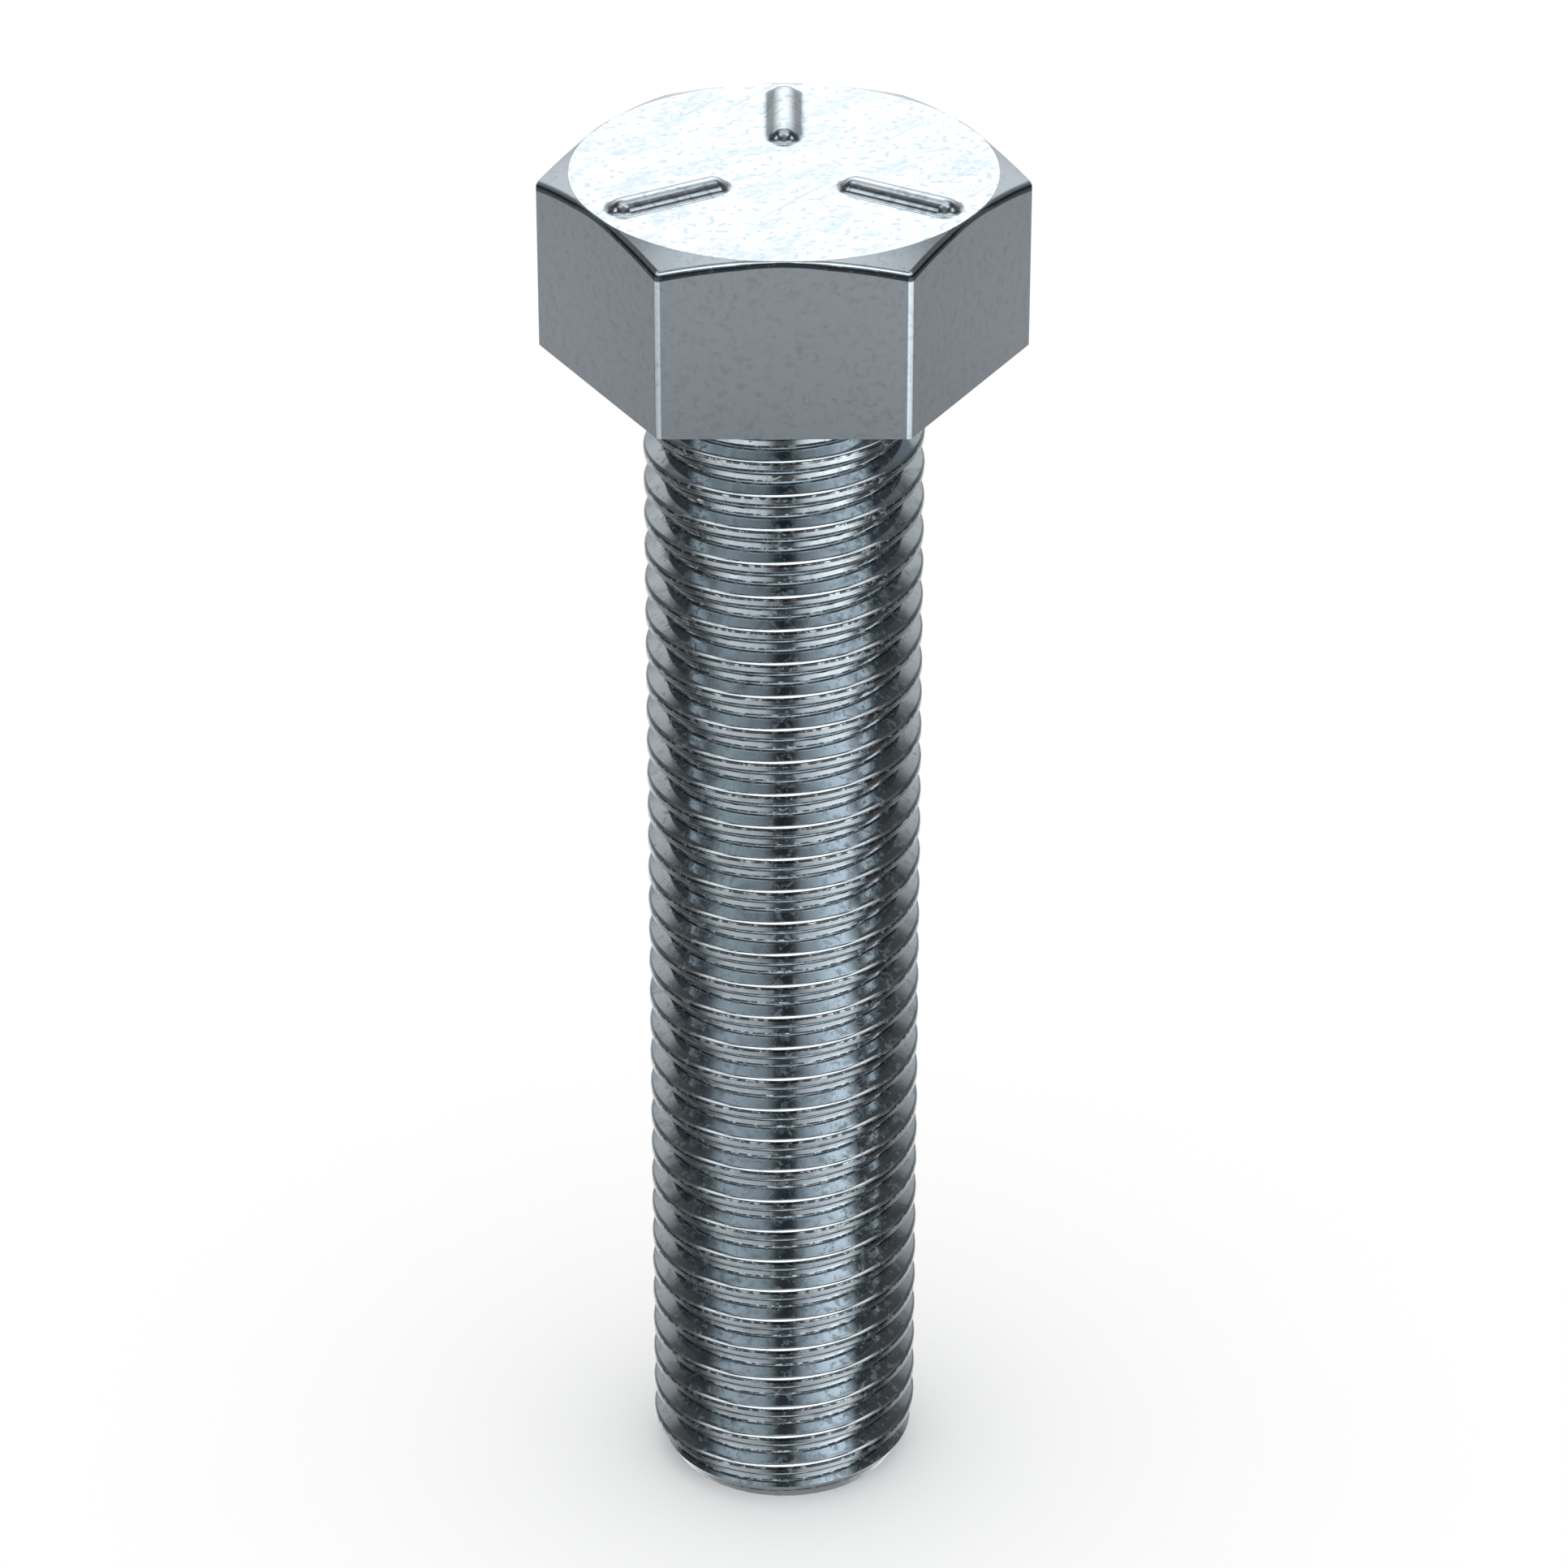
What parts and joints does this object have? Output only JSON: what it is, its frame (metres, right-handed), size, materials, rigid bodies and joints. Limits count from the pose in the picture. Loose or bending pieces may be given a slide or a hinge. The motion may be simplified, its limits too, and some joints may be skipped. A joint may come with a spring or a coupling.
{
  "type": "hex tap bolt",
  "caption": "Zinc plated hex tap bolt: a chamfered hex head with raised radial grade bars, on a shank threaded up to a short neck, with a chamfered flat tip.",
  "frame": {"origin": "centre of the bearing face, the flat underside of the head, on the bolt's axis", "axes": "+Z along the bolt's axis, towards the head; two flats of the head face -Y and +Y; the bolt stands on its flat tip"},
  "size_m": [0.0328, 0.0286, 0.1023],
  "materials": {
    "zinc_plated_steel": "bright zinc plate on forged and rolled steel, lightly stained"
  },
  "bodies": {
    "root": {"bolt": "zinc_plated_steel"}
  },
  "joints": []
}
